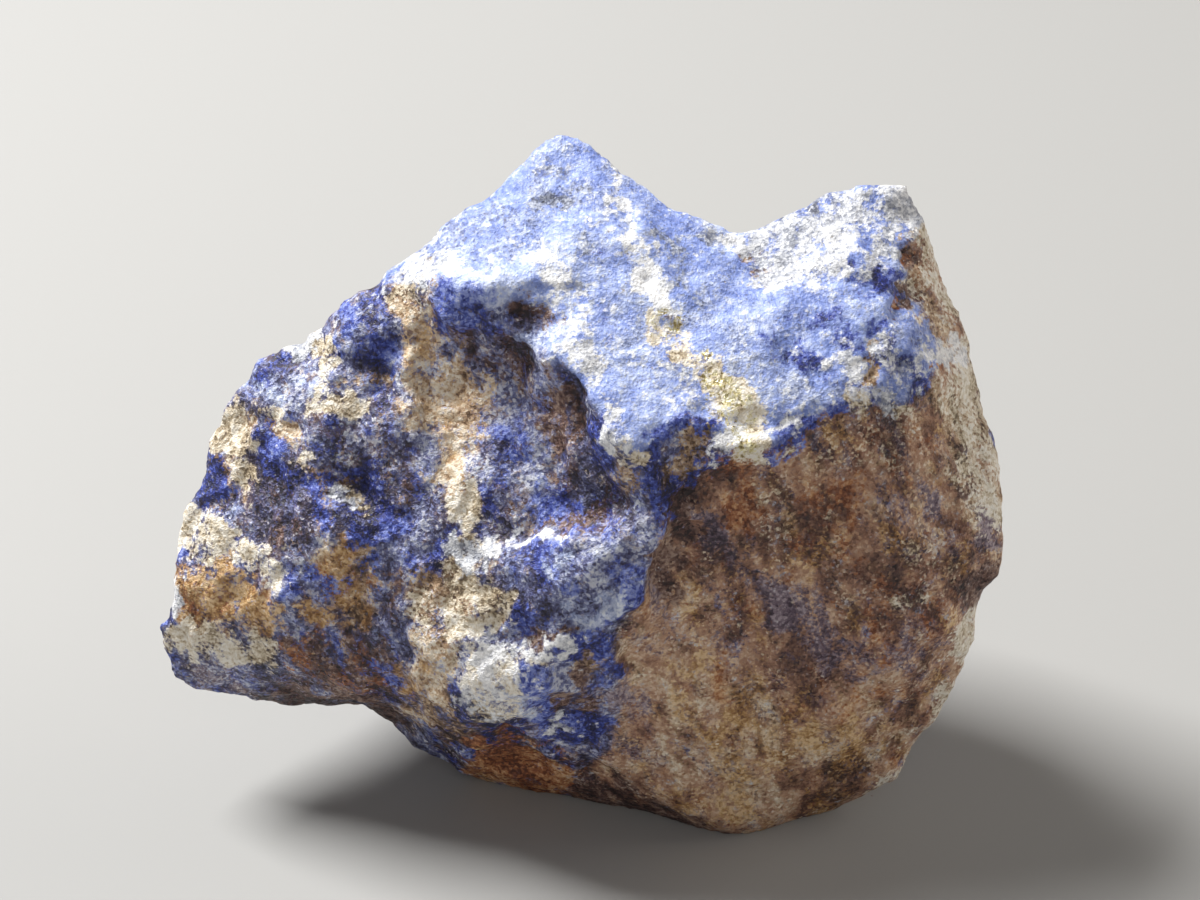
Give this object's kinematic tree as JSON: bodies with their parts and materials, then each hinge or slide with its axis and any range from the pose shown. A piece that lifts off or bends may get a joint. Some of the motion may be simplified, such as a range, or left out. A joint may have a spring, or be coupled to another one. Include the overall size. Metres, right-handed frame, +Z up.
{
  "type": "rough lapis lazuli stone",
  "caption": "Rough broken lump of lapis lazuli with two peaks, a sloping blue upper face and a steep brown face, standing on a small flat spot.",
  "frame": {"origin": "on the floor under the middle of the stone", "axes": "+Z up, +X along the stone's width to the right as seen from its show face, which faces -Y"},
  "size_m": [0.0976, 0.0518, 0.0774],
  "materials": {
    "lapis": "rough broken rock, mottled blue with pale and brown bands and specks of pyrite"
  },
  "bodies": {
    "root": {"lapis_stone": "lapis"}
  },
  "joints": []
}
